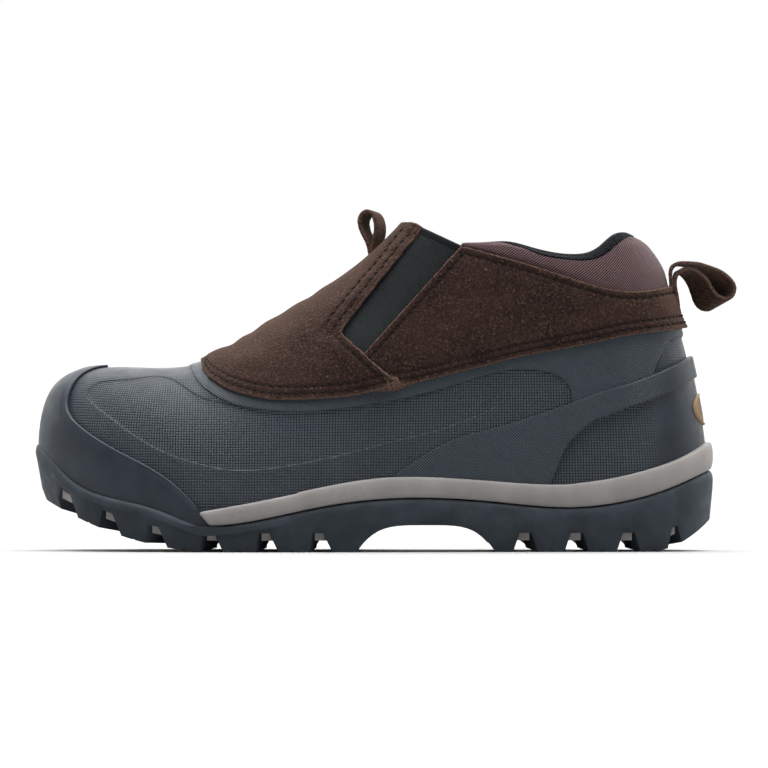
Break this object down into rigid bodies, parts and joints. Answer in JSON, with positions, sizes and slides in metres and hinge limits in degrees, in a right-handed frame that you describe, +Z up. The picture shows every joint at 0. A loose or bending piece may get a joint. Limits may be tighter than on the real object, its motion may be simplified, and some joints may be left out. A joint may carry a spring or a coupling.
{
  "type": "low slip-on snow boot",
  "caption": "Left low slip-on winter boot: hollow suede upper with side gores and a padded collar on a moulded rubber shell, striped midsole and lugged outsole, with pull loops.",
  "frame": {"origin": "on the floor, under the middle of the boot's box", "axes": "toe along -X, outer (lateral) side of the foot towards -Y, +Z up"},
  "size_m": [0.3152, 0.1125, 0.1543],
  "materials": {
    "sole_rubber": "matte dark slate rubber",
    "stripe_rubber": "matte warm taupe rubber",
    "footbed": "dark felt",
    "shell_rubber": "slate rubber with a fine moulded grid",
    "cap_rubber": "smooth satin slate rubber",
    "suede": "dark brown suede",
    "elastic": "black ribbed elastic",
    "twill": "mauve-brown twill",
    "loop_leather": "brown leather with raw edges",
    "badge": "blank tan patch"
  },
  "bodies": {
    "root": {"outsole": "sole_rubber", "midsole": "stripe_rubber", "insole": "footbed", "shell": "shell_rubber", "toe_cap": "cap_rubber", "heel_strap": "shell_rubber", "upper": "suede", "gore_lateral": "elastic", "gore_medial": "elastic", "collar": "twill", "front_loop": "loop_leather", "back_loop": "loop_leather", "heel_badge": "badge"}
  },
  "joints": []
}
